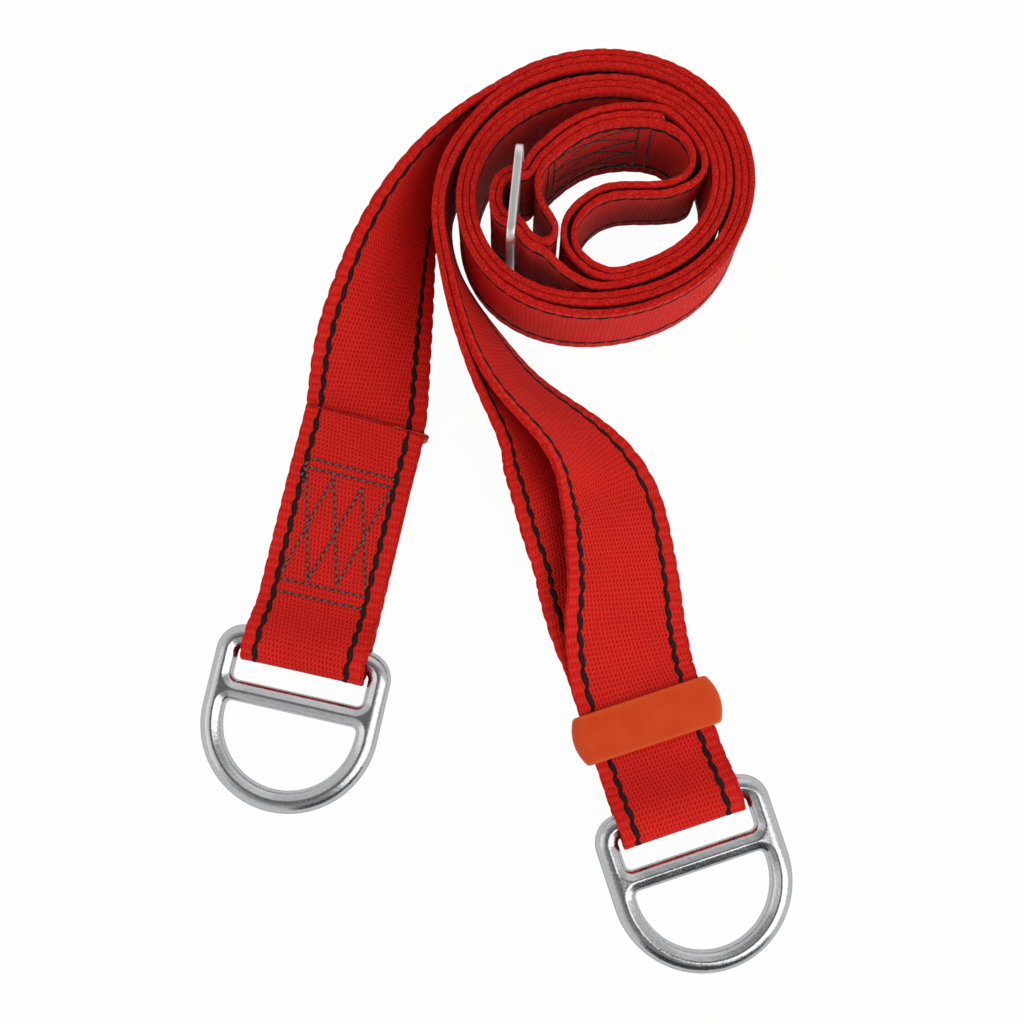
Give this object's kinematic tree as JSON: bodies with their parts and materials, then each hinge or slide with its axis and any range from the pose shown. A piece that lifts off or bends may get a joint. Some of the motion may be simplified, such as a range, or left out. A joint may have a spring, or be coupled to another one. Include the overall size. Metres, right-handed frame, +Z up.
{
  "type": "flat web sling",
  "caption": "Adjustable red web strap laid in a wound coil, with forged D-rings at its sewn end and at its bight, a slide buckle to set its length and a rubber keeper.",
  "frame": {"origin": "middle of the box's underside, where the coil's edges and the rings rest on the ground", "axes": "+Z up, along the webbing's width in the coil; +Y from the rings to the coil, away from the viewer in the picture; +X to the viewer's right"},
  "size_m": [0.2085, 0.3234, 0.0558],
  "materials": {
    "red_webbing": "woven, slightly glossy",
    "zinc_plate": "bright zinc over a forged surface",
    "nickel_plate": "bright plated",
    "orange_rubber": "smooth satin",
    "grey_thread": "bonded sewing thread"
  },
  "bodies": {
    "strap": {"webbing": "red_webbing", "ring_stitch_top": "grey_thread", "ring_stitch_under": "grey_thread", "buckle_stitch_front": "grey_thread", "buckle_stitch_back": "grey_thread"},
    "left_ring": {"left_d_ring": "zinc_plate"},
    "right_ring": {"right_d_ring": "zinc_plate"},
    "keeper_band": {"keeper": "orange_rubber"},
    "buckle": {"slide_buckle": "nickel_plate"}
  },
  "joints": [
    {"name": "left_ring_swing", "type": "hinge", "parent": "strap", "child": "left_ring", "pos_m": [-0.06672, -0.04998, 0.0075], "axis": [0.9759, -0.2181, 0], "range_deg": [-140, 125]},
    {"name": "right_ring_swing", "type": "hinge", "parent": "strap", "child": "right_ring", "pos_m": [0.0644, -0.10502, 0.00855], "axis": [0.9505, 0.3107, 0], "range_deg": [-140, 125]},
    {"name": "keeper_slide", "type": "slide", "parent": "strap", "child": "keeper_band", "axis": [-0.3107, 0.9505, 0], "range_m": [-0.005, 0.004]},
    {"name": "buckle_turn", "type": "hinge", "parent": "strap", "child": "buckle", "pos_m": [0.00755, 0.1044, 0.028], "axis": [0, 0, 1], "range_deg": [-3, 3]}
  ]
}
